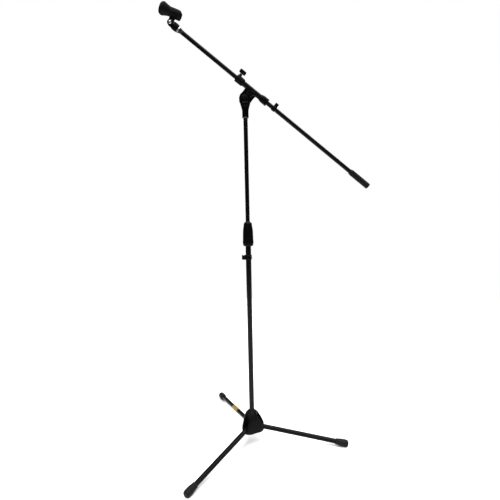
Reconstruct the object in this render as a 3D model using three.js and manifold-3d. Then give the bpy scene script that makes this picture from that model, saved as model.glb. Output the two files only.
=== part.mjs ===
// Boom microphone stand: folding tripod, two-tube mast, tilting boom and microphone clip.
// Millimetres, +Z up. The stand rests on z = 0; the origin is the middle of its footprint box.
import * as THREE from 'three';
import { mergeVertices } from 'three/addons/utils/BufferGeometryUtils.js';
import Module from 'manifold-3d';

const wasm = await Module();
wasm.setup();

// ---------------------------------------------------------------- driving dimensions
const GAP = 0.3;                    // clearance between pieces that touch
const FACETS = 0.65;                // facet density of revolved forms

const LOWER_TUBE_R = 10.0;          // 20 mm lower mast tube
const LOWER_TUBE_WALL = 1.2;
const LOWER_TUBE_BOTTOM = 61.0;
const LOWER_TUBE_TOP = 840.0;

const UPPER_TUBE_R = 7.5;           // 15 mm upper mast tube and boom tube
const UPPER_TUBE_WALL = 1.1;
const UPPER_TUBE_BOTTOM = 560.0;
const UPPER_TUBE_TOP = 1253.0;

const LEG_TUBE_R = 9.5;             // 19 mm leg tubes
const LEG_TUBE_WALL = 1.2;
const LEG_SLOPE = 9.76;             // degrees below level when open
const LEG_PIVOT_R = 33.0;           // fold axis, from the mast axis
const LEG_PIVOT_Z = 70.9;
const LEG_TUBE_START = 9.6;         // along the leg, from the fold axis
const LEG_TUBE_END = 335.0;
const LEG_AZIMUTH = { right: -7.2, left: -127.2, rear: 112.8 };

const HUB_BOTTOM = 53.0;
const HUB_TOP = 142.0;
const HUB_LOBE = 5.5;               // how far the three lobes stand out
const SLOT_HALF = 10.3;

const CLUTCH_BOTTOM = 804.0;
const CLUTCH_TOP = 890.5;
const CLUTCH_R = 19.7;

const MAST_CLIP_Z = 760.7;

const PIVOT_Z = 1320.0;             // boom tilt axis
const BOOM_ANGLE = 39.33;           // degrees, microphone end up
const BOOM_OFFSET = 38.9;           // tilt axis to boom axis
const SOCKET_DISC_R = 17.4;
const BRACKET_DISC_R = 20.9;

const SLEEVE_R = 9.75;
const SLEEVE_FRONT = -66.0;         // along the boom, from the foot of the tilt axis
const SLEEVE_REAR = 60.0;
const T_BAR_X = -61.6;

const BOOM_NUT = -314.0;            // lock nut's middle
const BOOM_TUBE_FRONT = -297.4;
const BOOM_TUBE_REAR = 528.8;
const BOOM_REAR = 533.4;
const GRIP_FRONT = 446.3;
const BOOM_CLIP_X = 97.4;

const CLIP_PIVOT = BOOM_NUT - 34.9; // microphone clip's tilt axis
const CLIP_ANGLE = 24.0;            // clip's own axis below level
const CLIP_RISE = 32.5;             // clip axis above its tilt axis
const CLIP_FRONT = -49.6;
const CLIP_REAR = 25.1;

// ---------------------------------------------------------------- finishes
const finish = (color, roughness, metalness) => ({ color, roughness, metalness });
const BLACK_PAINT = finish(0x161616, 0.38, 0.35);
const BLACK_PLASTIC = finish(0x17181a, 0.55, 0.0);
const CHARCOAL_PLASTIC = finish(0x1c1d1e, 0.62, 0.0);
const BLACK_RUBBER = finish(0x121212, 0.82, 0.0);
const ZINC = finish(0xb9b6b0, 0.28, 1.0);
const GREY_RING = finish(0x8d8d8b, 0.4, 0.7);
const BRASS = finish(0xb08a45, 0.35, 1.0);
const GOLD_BAND = finish(0xa58c50, 0.45, 0.5);
const NYLON = finish(0xd9d6cc, 0.6, 0.0);
const BLACK_STEEL = finish(0x202020, 0.4, 0.8);

// ---------------------------------------------------------------- shape helpers
const rad = (d) => (d * Math.PI) / 180;

// a closed geometry as a solid, faces outward
function solid(geometry) {
  let g = geometry.clone();
  for (const name of Object.keys(g.attributes)) if (name !== 'position') g.deleteAttribute(name);
  g = mergeVertices(g, 1e-4);
  const p = g.attributes.position.array;
  const index = g.index.array;
  const tri = [];
  let volume = 0;
  for (let i = 0; i < index.length; i += 3) {
    const [a, b, c] = [index[i], index[i + 1], index[i + 2]];
    if (a === b || b === c || a === c) continue;
    tri.push(a, b, c);
    const [A, B, C] = [a, b, c].map((v) => new THREE.Vector3(p[3 * v], p[3 * v + 1], p[3 * v + 2]));
    volume += A.dot(B.cross(C));
  }
  if (volume < 0) for (let i = 0; i < tri.length; i += 3) [tri[i + 1], tri[i + 2]] = [tri[i + 2], tri[i + 1]];
  return new wasm.Manifold(new wasm.Mesh({
    numProp: 3, vertProperties: new Float32Array(p), triVerts: new Uint32Array(tri),
  }));
}

// a solid back as a geometry
function geometryOf(body) {
  const m = body.getMesh();
  const g = new THREE.BufferGeometry();
  g.setAttribute('position', new THREE.BufferAttribute(new Float32Array(m.vertProperties), 3));
  g.setIndex(new THREE.BufferAttribute(new Uint32Array(m.triVerts), 1));
  g.computeVertexNormals();
  return g;
}

// [r, z] points revolved about +Z; closed when the profile does not start and end on the axis
function turned(profile, segments = 28, start = 0) {
  const pts = profile.map(([r, z]) => new THREE.Vector2(r, z));
  const first = pts[0];
  const last = pts[pts.length - 1];
  if (first.x > 1e-9 || last.x > 1e-9) pts.push(first.clone());
  const n = segments > 8 ? 2 * Math.round((segments * FACETS) / 2) : segments;
  const g = new THREE.LatheGeometry(pts, n, start);
  g.rotateX(Math.PI / 2);
  return g;
}

// [r, x] points revolved about +X
const turnedX = (profile, segments = 28) => turned(profile, segments).rotateY(Math.PI / 2);
// [r, y] points revolved about +Y
const turnedY = (profile, segments = 28) => turned(profile, segments).rotateX(-Math.PI / 2);

const ring = (r0, r1, z0, z1) => [[r0, z0], [r1, z0], [r1, z1], [r0, z1]];
const rod = (r, z0, z1) => [[0, z0], [r, z0], [r, z1], [0, z1]];

function box(x0, x1, y0, y1, z0, z1) {
  const g = new THREE.BoxGeometry(x1 - x0, y1 - y0, z1 - z0);
  g.translate((x0 + x1) / 2, (y0 + y1) / 2, (z0 + z1) / 2);
  return g;
}

// an outline in the X-Z plane, [x, z] points or a Shape, extruded from y0 to y1
function plate(outline, y0, y1, curveSegments = 16) {
  const shape = outline instanceof THREE.Shape
    ? outline
    : new THREE.Shape(outline.map(([x, z]) => new THREE.Vector2(x, z)));
  const g = new THREE.ExtrudeGeometry(shape, { depth: y1 - y0, bevelEnabled: false, curveSegments });
  g.rotateX(Math.PI / 2);           // shape y -> z, depth -> -y
  g.translate(0, y1, 0);
  return g;
}

const circle = (x, z, r, n, a0 = 0, a1 = 360) =>
  Array.from({ length: n }, (_, i) => {
    const a = rad(a0 + ((a1 - a0) * i) / (a1 - a0 === 360 ? n : n - 1));
    return [x + r * Math.cos(a), z + r * Math.sin(a)];
  });

// moves each vertex of a +Z revolved form outward by offset(angle, z)
function swell(geometry, offset) {
  const p = geometry.attributes.position;
  for (let i = 0; i < p.count; i++) {
    const [x, y, z] = [p.getX(i), p.getY(i), p.getZ(i)];
    const r = Math.hypot(x, y);
    if (r < 1e-6) continue;
    const a = Math.atan2(y, x);
    const k = (r + offset(a, z, r)) / r;
    p.setXYZ(i, x * k, y * k, z);
  }
  return geometry;
}

const smooth = (t) => { const u = Math.min(1, Math.max(0, t)); return u * u * (3 - 2 * u); };

const stand = new THREE.Group();
function put(parent, name, shape, look) {
  const geometry = shape instanceof THREE.BufferGeometry ? geometryOf(solid(shape)) : geometryOf(shape);
  const mesh = new THREE.Mesh(geometry, new THREE.MeshStandardMaterial(look));
  mesh.name = name;
  parent.add(mesh);
  return mesh;
}

// ---------------------------------------------------------------- tripod hub
{
  const a0 = rad(LEG_AZIMUTH.right);
  const outer = turned([
    [0, HUB_BOTTOM], [38.0, HUB_BOTTOM], [40.7, 54.6], [42.6, 58.5], [43.4, 64], [43.4, 73], [42.8, 79], [41.4, 86.5],
    [39.8, 91], [37.6, 98.5], [35.0, 105.5], [31.8, 112], [28.2, 119.5], [24.6, 126], [21.3, 130.6], [17.7, 135],
    [14.0, 138.8], [12.1, 141], [11.3, HUB_TOP],
    [0, HUB_TOP],
  ], 60, rad(-LEG_AZIMUTH.right));
  swell(outer, (a, z, r) => (r > 30 ? 1 : r / 30) * HUB_LOBE * smooth((124 - z) / 48) * Math.cos(3 * (a - a0)));
  let hub = solid(outer)
    .subtract(solid(turned(rod(LOWER_TUBE_R + GAP, 60.6, 160), 28)))
    .subtract(solid(turned(rod(3.4, 30, 70), 16)))
    .subtract(solid(turned(rod(33.9, 40, 56.5), 40)));
  for (const az of Object.values(LEG_AZIMUTH)) {
    const drop = Math.tan(rad(LEG_SLOPE));
    const floor = (r) => LEG_PIVOT_Z - (r - LEG_PIVOT_R) * drop - (LEG_TUBE_R + 0.6) / Math.cos(rad(LEG_SLOPE));
    const slot = plate([
      [20.0, floor(20)], [70, floor(70)], [70, 170], [20.0, 170],
    ], -SLOT_HALF, SLOT_HALF).rotateZ(rad(az));
    const bore = turnedY(rod(2.8, -15.4, 15.4), 16).translate(LEG_PIVOT_R, 0, LEG_PIVOT_Z).rotateZ(rad(az));
    hub = hub.subtract(solid(slot)).subtract(solid(bore));
  }
  put(stand, 'hub_housing', hub, BLACK_PLASTIC);
  // cap under the legs, with a round boss round the screw
  put(stand, 'hub_base_plate', turned([
    [7.2, 35.0], [9.8, 35.0], [11.4, 36.4], [12.0, 39], [12.0, 53.4], [33.5, 53.4], [33.5, 56.2], [3.4, 56.2],
    [3.4, 41], [7.2, 41],
  ], 40), BLACK_PLASTIC);
  put(stand, 'hub_screw', turned([
    [0, 37.0], [5.2, 37.0], [6.4, 38.2], [6.4, 40.7], [2.9, 40.7], [2.9, 80], [0, 80],
  ], 20), BLACK_STEEL);
}

// ---------------------------------------------------------------- legs
for (const [side, az] of Object.entries(LEG_AZIMUTH)) {
  const turn = new THREE.Group();
  turn.rotation.z = rad(az);
  stand.add(turn);
  const leg = new THREE.Group();    // x along the leg, from the fold axis
  leg.position.set(LEG_PIVOT_R, 0, LEG_PIVOT_Z);
  leg.rotation.y = rad(LEG_SLOPE);
  turn.add(leg);

  put(leg, `leg_tube_${side}`, turnedX(ring(LEG_TUBE_R - LEG_TUBE_WALL, LEG_TUBE_R, LEG_TUBE_START, LEG_TUBE_END), 28), BLACK_PAINT);

  // plastic end piece: rounded eye in the hub's slot, plug inside the tube
  const head = plate([
    ...circle(0, 0, 9.3, 20, 90, 270), [LEG_TUBE_START - GAP, -9.3], [LEG_TUBE_START - GAP, 9.3],
  ], -9.3, 9.3);
  const knuckle = solid(head)
    .add(solid(turnedX(rod(LEG_TUBE_R - LEG_TUBE_WALL - GAP, 5, 36), 24)))
    .subtract(solid(turnedY(rod(2.8, -12, 12), 16)));
  put(leg, `leg_knuckle_${side}`, knuckle, BLACK_PLASTIC);

  put(turn, `leg_pin_${side}`, turnedY(rod(2.5, -15, 15), 16).translate(LEG_PIVOT_R, 0, LEG_PIVOT_Z), ZINC);

  // rubber boot, flat where it stands on the floor
  const boot = turnedX([
    [LEG_TUBE_R + GAP, 302], [11.4, 302], [11.9, 303.4], [12.0, 309], [12.9, 315], [13.9, 322], [14.25, 330],
    [14.2, 340], [13.4, 346], [11.4, 350.2], [8.2, 352], [0, 352], [0, LEG_TUBE_END + 0.5],
    [LEG_TUBE_R + GAP, LEG_TUBE_END + 0.5],
  ], 28);
  const floor = box(250, 420, -40, 40, -60, 0)
    .translate(-LEG_PIVOT_R, 0, -LEG_PIVOT_Z)
    .rotateY(-rad(LEG_SLOPE));
  put(leg, `leg_foot_${side}`, solid(boot).subtract(solid(floor)), BLACK_RUBBER);

  if (side === 'rear') {
    put(leg, 'leg_band_rear', turnedX(ring(LEG_TUBE_R + 0.25, LEG_TUBE_R + 0.6, 115.5, 172), 28), GOLD_BAND);
  }
}

// ---------------------------------------------------------------- lower mast tube and height clutch
put(stand, 'lower_tube', turned(ring(LOWER_TUBE_R - LOWER_TUBE_WALL, LOWER_TUBE_R, LOWER_TUBE_BOTTOM, LOWER_TUBE_TOP), 28), BLACK_PAINT);
put(stand, 'lower_tube_plug', turned(ring(3.2, LOWER_TUBE_R - LOWER_TUBE_WALL - GAP, 61.2, 86), 24), ZINC);
put(stand, 'clutch_bushing', turned([
  [10.3, 806.5], [13.4, 806.5], [13.4, 846], [8.4, 846], [8.4, 840.4], [10.3, 840.4],
], 28), NYLON);
put(stand, 'clutch_collet',
  solid(turned([[7.8, 846.4], [12.6, 846.4], [9.7, 866.5], [7.8, 866.5]], 28))
    .subtract(solid(box(0, 20, -0.9, 0.9, 840, 870))), NYLON);
put(stand, 'clutch_grip', turned([
  [13.75, CLUTCH_BOTTOM], [15.8, CLUTCH_BOTTOM], [17.9, 805.6], [19.2, 808.8], [CLUTCH_R, 812.5],
  [CLUTCH_R, 819], [19.2, 838], [18.8, 853], [18.1, 864.5], [16.9, 873], [15.8, 880], [14.9, 886.4],
  [13.4, 889.4], [12.0, CLUTCH_TOP], [8.1, CLUTCH_TOP], [8.1, 867.2], [10.1, 867.2], [13.1, 846.2], [13.75, 846.2],
], 36), BLACK_PLASTIC);
put(stand, 'clutch_top_ring', turned(ring(8.1, 9.8, 890.8, 893.6), 28), GREY_RING);

// snap-on cable holder: band round a tube on Z, hook to -X, both mouths to +Y
function cableHolder(tubeR, bandR, hookX, channelR, tipX, halfLength, halfWidth) {
  const band = solid(turned([
    [0, -halfLength], [bandR - 1.1, -halfLength], [bandR, -halfLength + 3], [bandR, halfLength - 3],
    [bandR - 1.1, halfLength], [0, halfLength],
  ], 28));
  const stem = new THREE.Shape();
  stem.moveTo(-4, -halfWidth);
  stem.lineTo(tipX + 2.2, -halfWidth);
  stem.quadraticCurveTo(tipX, -halfWidth, tipX, -halfWidth + 2.2);
  stem.lineTo(tipX, halfWidth - 2.2);
  stem.quadraticCurveTo(tipX, halfWidth, tipX + 2.2, halfWidth);
  stem.lineTo(-4, halfWidth);
  const hook = new THREE.ExtrudeGeometry(stem, { depth: 2 * halfLength - 1.6, bevelEnabled: false, curveSegments: 5 });
  hook.translate(0, 0, -halfLength + 0.8);
  return band.add(solid(hook))
    .subtract(solid(turned(rod(tubeR + GAP, -40, 40), 28)))
    .subtract(solid(turned(rod(channelR, -40, 40), 20).translate(hookX, 0, 0)))
    .subtract(solid(box(hookX - 0.75 * channelR, hookX + 0.75 * channelR, 0, 30, -40, 40)))
    .subtract(solid(box(-6.6 * (tubeR / 10), 6.6 * (tubeR / 10), 0, 30, -40, 40)));
}
put(stand, 'mast_cable_clip', cableHolder(LOWER_TUBE_R, 12.6, -17.6, 3.7, -24.2, 9.3, 6.2), BLACK_PLASTIC)
  .position.set(0, 0, MAST_CLIP_Z);

// ---------------------------------------------------------------- upper mast tube
put(stand, 'upper_tube', turned(ring(UPPER_TUBE_R - UPPER_TUBE_WALL, UPPER_TUBE_R, UPPER_TUBE_BOTTOM, UPPER_TUBE_TOP), 28), BLACK_PAINT);
put(stand, 'upper_tube_guide', turned([
  [0, 553], [7.6, 553], [8.45, 554.5], [8.45, 559.7], [6.1, 559.7], [6.1, 585], [0, 585],
], 24), NYLON);
put(stand, 'mast_stud', turned([
  [0, 1222], [6.1, 1222], [6.1, 1253.3], [7.9, 1253.3], [7.9, 1284], [0, 1284],
], 24), BLACK_STEEL);
put(stand, 'head_lock_ring', turned(ring(8.25, 11.7, 1258.5, 1260.8), 32), GREY_RING);

// ---------------------------------------------------------------- tilt head: socket on the mast
{
  const neck = turned([
    [0, 1261.3], [10.6, 1261.3], [11.3, 1262.6], [11.3, 1281], [11.9, 1285], [12.8, 1289.3], [14.0, 1293.5],
    [15.3, 1297.8], [16.6, 1302], [17.7, 1308], [0, 1308],
  ], 36);
  // round face on the near side of the joint
  const disc = turnedY([
    [0, -15.2], [7.5, -14.9], [12.4, -13.9], [15.6, -12.0], [SOCKET_DISC_R, -9.2], [SOCKET_DISC_R, -2.4], [0, -2.4],
  ], 36).translate(0, 0, PIVOT_Z);
  const nearHalf = box(-30, 30, -15.2, -2.4, 1255, 1340);
  const lower = box(-30, 30, -30, 30, 1255, 1308);
  const recess = turnedY(rod(BRACKET_DISC_R + 0.9, -2.4, 40), 36).translate(0, 0, PIVOT_Z);
  const socket = solid(neck)
    .subtract(solid(recess))
    .subtract(solid(box(-40, 40, -2.4, 40, 1293.8, 1330)))
    .add(solid(disc))
    .intersect(solid(lower).add(solid(nearHalf)))
    .subtract(solid(turned(rod(8.2, 1240, 1284.5), 24)))
    .subtract(solid(turnedY(rod(4.3, -6, 10), 20).translate(0, 0, PIVOT_Z)))
    .subtract(solid(turnedY(rod(8.3, -10, 0), 6).translate(0, 0, PIVOT_Z)));
  put(stand, 'head_socket', socket, BLACK_PLASTIC);
  put(stand, 'tilt_washer', turnedY(ring(4.4, 15.5, -2.1, -0.3), 28).translate(0, 0, PIVOT_Z), NYLON);
  const boltHead = solid(turnedY(rod(7.6, -9.6, -4.6), 6).translate(0, 0, PIVOT_Z));
  put(stand, 'pivot_bolt', boltHead.add(solid(turnedY(rod(4.0, -5, 27.5), 24).translate(0, 0, PIVOT_Z))), ZINC);
}

// ---------------------------------------------------------------- everything below turns with the boom head
const head = new THREE.Group();     // x along the boom to its rear, z off the boom, from the tilt axis
head.position.set(0, 0, PIVOT_Z);
head.rotation.y = rad(BOOM_ANGLE);
stand.add(head);

{
  const Z = BOOM_OFFSET;
  const arc = circle(0, 0, BRACKET_DISC_R, 21, 215, 370);
  const far = plate([
    ...arc, [20.3, 10], [19.9, 16], [20.0, 21], [20.7, 26], [22.2, Z - 7.6], [20, Z], [-20, Z], [-24.2, Z - 7],
    [-23.6, 26], [-23.3, 20], [-23.5, 15], [-24.2, 10.5], [-24.8, 6], [-24.5, 2.2], [-23.4, -1.6], [-21.8, -5.8],
    [-19.6, -9.2],
  ], 0, 14.6);
  const fan = plate([
    ...circle(0, 0, SOCKET_DISC_R + 0.9, 9, 58, 122), [-17, 27.2], [-20.5, Z - 7], [-20, Z], [20, Z], [20.5, Z - 7], [17, 27.2],
  ].reverse(), -14.2, 0.2);
  const knobBolt = turnedY(rod(4.3, -20, 20), 20);
  const bracket = solid(far).add(solid(fan))
    .intersect(solid(turnedX(rod(23.5, -60, 60), 36).translate(0, 0, Z - 9)).add(solid(box(-60, 60, -14.2, 14.6, -30, Z - 12))))
    .subtract(solid(turnedX(rod(SLEEVE_R + GAP, -60, 60), 28).translate(0, 0, Z)))
    .subtract(solid(box(-60, 60, -30, 30, Z - 3, Z + 30)))
    .subtract(solid(knobBolt));
  put(head, 'head_bracket', bracket, BLACK_PLASTIC);
}
{
  const Z = BOOM_OFFSET;
  const hole = turned(rod(3.0, 0, 30), 16).translate(T_BAR_X, 0, Z);
  put(head, 'boom_sleeve',
    solid(turnedX(ring(8.9, SLEEVE_R, SLEEVE_FRONT, SLEEVE_REAR), 28).translate(0, 0, Z)).subtract(solid(hole)), BLACK_PAINT);
  const collar = solid(turnedX([
    [8.0, -68.3], [12.0, -68.3], [12.8, -67.4], [13.2, -66.0], [13.2, -45], [12.8, -41], [11.0, -37.6], [10.6, -37],
    [10.05, -37], [10.05, -66.3], [8.0, -66.3],
  ], 28).translate(0, 0, Z));
  const boss = solid(turned([
    [0, 0], [6.4, 0], [6.4, 12.4], [5.5, 14], [5.0, 15.6], [5.0, 18.4], [4.6, 19], [0, 19],
  ], 20).translate(T_BAR_X, 0, Z))
    .subtract(solid(turnedX(rod(10.05, -80, -30), 28).translate(0, 0, Z)));
  put(head, 'front_collar',
    collar.add(boss).subtract(solid(turned(rod(3.8, 0, 30), 16).translate(T_BAR_X, 0, Z))), BLACK_PLASTIC);
  put(head, 't_bar_nut', turned([
    [2.8, Z + 10.6], [3.5, Z + 10.6], [3.5, Z + 19.3], [4.4, Z + 19.3], [4.4, Z + 20.2], [2.8, Z + 20.2],
  ], 20).translate(T_BAR_X, 0, 0), ZINC);
  put(head, 't_bar_screw', turned(rod(2.5, Z + 9.0, Z + 28.6), 16).translate(T_BAR_X, 0, 0), BLACK_STEEL);
  const bar = new THREE.Shape();
  const [hx, hz, hr] = [12.0, 6.7, 3.6];
  bar.moveTo(-hx + hr, -hz);
  bar.lineTo(hx - hr, -hz); bar.quadraticCurveTo(hx, -hz, hx, -hz + hr);
  bar.lineTo(hx, hz - hr); bar.quadraticCurveTo(hx, hz, hx - hr, hz);
  bar.lineTo(-hx + hr, hz); bar.quadraticCurveTo(-hx, hz, -hx, hz - hr);
  bar.lineTo(-hx, -hz + hr); bar.quadraticCurveTo(-hx, -hz, -hx + hr, -hz);
  put(head, 't_bar_handle',
    solid(plate(bar, -5, 5, 5).translate(T_BAR_X, 0, Z + 27.3))
      .subtract(solid(turned(rod(2.8, 0, Z + 28.9), 16).translate(T_BAR_X, 0, 0))), BLACK_PLASTIC);
  put(head, 'rear_collar', turnedX([
    [10.1, 36.5], [10.7, 36.5], [11.4, 38.5], [12.4, 42], [13.3, 47], [13.5, 52], [13.5, 65], [13.2, 66.5],
    [12.4, 67.4], [9.0, 67.4], [9.0, 60.4], [10.1, 60.4],
  ], 32).translate(0, 0, Z), BLACK_PLASTIC);
  put(head, 'boom_liner', turnedX(ring(7.8, 8.6, -65.6, 66.6), 28).translate(0, 0, Z), NYLON);
}

// hand knob on the far side of the tilt joint, with its nut
{
  const lobes = swell(turned([
    [4.4, 15.3], [13.4, 15.3], [15.4, 16.6], [15.6, 24], [14.6, 28.2], [11.6, 30.2], [0, 31], [0, 28], [4.4, 28],
  ], 48), (a, z, r) => (r > 11 ? 1.1 * Math.cos(8 * a) : 0));
  const knob = solid(lobes.rotateX(-Math.PI / 2))
    .subtract(solid(turnedY(rod(7.6, 14, 23.4), 6)));
  put(stand, 'tilt_knob', geometryOf(knob).translate(0, 0, PIVOT_Z), BLACK_PLASTIC);
  put(stand, 'tilt_knob_nut', solid(turnedY(rod(7.1, 15.6, 23.0), 6).translate(0, 0, PIVOT_Z))
    .subtract(solid(turnedY(rod(4.3, 10, 30), 24).translate(0, 0, PIVOT_Z))), BRASS);
}

// ---------------------------------------------------------------- boom
{
  const boom = new THREE.Group();
  boom.position.z = BOOM_OFFSET;
  head.add(boom);
  put(boom, 'boom_tube', turnedX(ring(UPPER_TUBE_R - UPPER_TUBE_WALL, UPPER_TUBE_R, BOOM_TUBE_FRONT, BOOM_TUBE_REAR), 28), BLACK_PAINT);
  put(boom, 'boom_tip', turnedX([
    [0, BOOM_NUT - 18], [7.3, BOOM_NUT - 18], [7.9, BOOM_NUT - 17], [7.9, BOOM_NUT + 2.5], [9.0, BOOM_NUT + 2.5],
    [9.0, BOOM_NUT + 5], [8.5, BOOM_NUT + 8.5], [7.9, BOOM_NUT + 8.5], [7.9, BOOM_TUBE_FRONT - GAP],
    [6.1, BOOM_TUBE_FRONT - GAP], [6.1, BOOM_TUBE_FRONT + 30], [0, BOOM_TUBE_FRONT + 30],
  ], 24), BLACK_STEEL);
  put(boom, 'lock_nut', turnedX(ring(8.25, 11.1, BOOM_NUT - 2.2, BOOM_NUT + 2.2), 32), ZINC);
  put(boom, 'boom_grip', turnedX([
    [7.8, GRIP_FRONT], [8.6, GRIP_FRONT], [9.9, GRIP_FRONT + 3.5], [10.7, GRIP_FRONT + 8.7], [10.9, GRIP_FRONT + 15],
    [10.9, BOOM_REAR - 2.4], [10.2, BOOM_REAR - 0.8], [8.8, BOOM_REAR], [0, BOOM_REAR], [0, BOOM_TUBE_REAR + 0.4], [7.8, BOOM_TUBE_REAR + 0.4],
  ], 28), BLACK_RUBBER);
  const holder = geometryOf(cableHolder(UPPER_TUBE_R, 9.9, -14.4, 3.9, -20.3, 7.3, 5.7));
  holder.rotateZ(-Math.PI / 2);     // hook to +Y, mouths to +X
  holder.rotateX(Math.PI / 2);      // hook to +Z, tube along -Y
  holder.rotateZ(Math.PI / 2);      // mouths to +Y, tube along X
  put(boom, 'boom_cable_clip', holder.translate(BOOM_CLIP_X, 0, 0), BLACK_PLASTIC);

  // microphone clip: socket on the boom's threaded tip
  const mount = new THREE.Group();
  mount.position.x = CLIP_PIVOT;
  boom.add(mount);
  const tipX = BOOM_NUT - CLIP_PIVOT;        // lock nut's middle seen from the clip's tilt axis
  const body = solid(turnedX([
    [0, 8.6], [10.5, 8.6], [11.2, 10.6], [12.8, 13.8], [13.3, 17], [13.3, 24], [12.9, 26.5], [12.1, tipX - 3.2],
    [11.5, tipX - 2.5], [0, tipX - 2.5],
  ], 32));
  const ears = plate([
    ...circle(0, 0, 10.3, 19, 78, 282), [9, -10.7], [17, -11.2], [17, 11.2], [9, 10.7],
  ], -10.4, 10.4);
  const socket = body.add(solid(ears).intersect(solid(turnedX(rod(13.4, -20, 40), 32))))
    .subtract(solid(box(-20, 11.6, -5.4, 5.4, -20, 20)))
    .subtract(solid(turnedY(rod(2.7, -20, 20), 16)))
    .subtract(solid(turnedX(rod(9.5, tipX - 18.6, tipX), 28)))
    .subtract(solid(turnedY(rod(5.9, 7.6, 20), 6)));
  put(mount, 'clip_socket', socket, BLACK_PLASTIC);
  put(mount, 'clip_insert', turnedX(ring(8.2, 9.2, tipX - 18.2, tipX - 2.7), 28), BRASS);
  put(mount, 'clip_screw', turnedY([
    [0, -14.2], [3.6, -13.9], [5.6, -12.6], [6.1, -10.8], [2.4, -10.8], [2.4, 12.4], [0, 12.4],
  ], 24), ZINC);
  put(mount, 'clip_nut', turnedY(ring(3.0, 5.5, 8.0, 11.6), 6), ZINC);

  // the clip itself: tapered spring sleeve, split along the top
  const clip = new THREE.Group();
  clip.rotation.y = rad(CLIP_ANGLE - BOOM_ANGLE);
  mount.add(clip);
  const outer = turnedX([
    [0, CLIP_FRONT], [14.5, CLIP_FRONT], [17.2, -48.6], [19.6, -46], [21.2, -42.8], [22.1, -39.6], [22.1, -37.8],
    [20.7, -33], [18.3, -26], [16.5, -19], [15.5, -13], [15.9, -7], [16.2, 0], [16.2, 21.5], [15.4, 24.4],
    [14.2, CLIP_REAR], [0, CLIP_REAR],
  ], 36);
  const inner = turnedX([
    [0, CLIP_FRONT - 5], [15.2, CLIP_FRONT - 5], [15.6, -48], [17.6, -41.5], [18.4, -37], [17.0, -31], [14.9, -24],
    [13.3, -17], [12.8, -12], [13.2, 0], [13.4, CLIP_REAR + 5], [0, CLIP_REAR + 5],
  ], 32);
  const lug = plate([
    ...circle(0, 0, 8.2, 15, 180, 360), [8.6, 13], [10.4, 17.4], [10.4, CLIP_RISE - 10], [-11.2, CLIP_RISE - 10],
    [-11.2, 17.4], [-9.2, 13],
  ], -4.9, 4.9);
  const shell = solid(outer.translate(0, 0, CLIP_RISE))
    .add(solid(lug))
    .subtract(solid(inner.translate(0, 0, CLIP_RISE)))
    .subtract(solid(box(CLIP_FRONT - 5, CLIP_REAR + 5, -6.5, 6.5, CLIP_RISE + 5, CLIP_RISE + 40)))
    .subtract(solid(plate([
      [15, CLIP_RISE + 17.7], [34, CLIP_RISE + 3.9], [34, CLIP_RISE + 40], [15, CLIP_RISE + 40],
    ], -30, 30)))
    .subtract(solid(turnedY(rod(2.7, -20, 20), 16)));
  put(clip, 'clip_body', shell, CHARCOAL_PLASTIC);
}

// ---------------------------------------------------------------- origin: middle of the footprint box
stand.updateMatrixWorld(true);
const extent = new THREE.Box3().setFromObject(stand, true);
const object = new THREE.Group();
stand.position.set(-(extent.min.x + extent.max.x) / 2, -(extent.min.y + extent.max.y) / 2, 0);
object.add(stand);
object.updateMatrixWorld(true);

export default object;
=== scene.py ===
# Boom microphone stand: fine surfaces, materials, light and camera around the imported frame.
import math

import bpy
import numpy as np
from mathutils import Matrix, Vector


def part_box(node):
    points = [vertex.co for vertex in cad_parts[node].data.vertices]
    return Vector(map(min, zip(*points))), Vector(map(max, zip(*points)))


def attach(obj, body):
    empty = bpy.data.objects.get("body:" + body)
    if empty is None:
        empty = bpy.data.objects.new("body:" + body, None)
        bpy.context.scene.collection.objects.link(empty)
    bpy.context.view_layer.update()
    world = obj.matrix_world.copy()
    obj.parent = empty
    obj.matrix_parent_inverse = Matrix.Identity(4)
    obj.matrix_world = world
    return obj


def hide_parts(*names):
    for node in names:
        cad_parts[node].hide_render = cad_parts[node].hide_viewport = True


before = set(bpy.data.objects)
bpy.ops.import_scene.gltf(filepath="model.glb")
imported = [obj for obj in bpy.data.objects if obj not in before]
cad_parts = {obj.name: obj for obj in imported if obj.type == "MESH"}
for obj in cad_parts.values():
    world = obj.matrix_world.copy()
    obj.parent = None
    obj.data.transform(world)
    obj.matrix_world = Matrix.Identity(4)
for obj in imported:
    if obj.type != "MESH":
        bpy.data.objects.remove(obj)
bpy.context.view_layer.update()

# ------------------------------------------------------------------ frames (millimetres)
a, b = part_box("lower_tube")
AX, AY = (a.x + b.x) * 500.0, (a.y + b.y) * 500.0
rad = math.radians
PIVOT_Z = 1320.0
BOOM_ANGLE = 39.33
BOOM_OFFSET = 38.9
LEG_SLOPE = 9.76
LEG_R, LEG_Z = 33.0, 70.9
LEGS = {"right": -7.2, "left": -127.2, "rear": 112.8}
NUT = -314.0
CLIP_PIVOT = NUT - 34.9
CLIP_ANGLE = 24.0

T, RY, RZ = Matrix.Translation, (lambda d: Matrix.Rotation(rad(d), 4, "Y")), (lambda d: Matrix.Rotation(rad(d), 4, "Z"))
STAND = T((AX, AY, 0))
HUB = STAND @ RZ(LEGS["right"])
LEG = {k: STAND @ RZ(v) @ T((LEG_R, 0, LEG_Z)) @ RY(LEG_SLOPE) for k, v in LEGS.items()}
HEAD = STAND @ T((0, 0, PIVOT_Z)) @ RY(BOOM_ANGLE)
BOOM = HEAD @ T((0, 0, BOOM_OFFSET))
MOUNT = BOOM @ T((CLIP_PIVOT, 0, 0))
CLIP = MOUNT @ RY(CLIP_ANGLE - BOOM_ANGLE)
ALONG_X = Matrix(((0, 0, 1, 0), (1, 0, 0, 0), (0, 1, 0, 0), (0, 0, 0, 1)))   # a form turned on Z, laid on +X
ALONG_Y = Matrix(((0, 1, 0, 0), (0, 0, 1, 0), (1, 0, 0, 0), (0, 0, 0, 1)))   # a form turned on Z, laid on +Y


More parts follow.
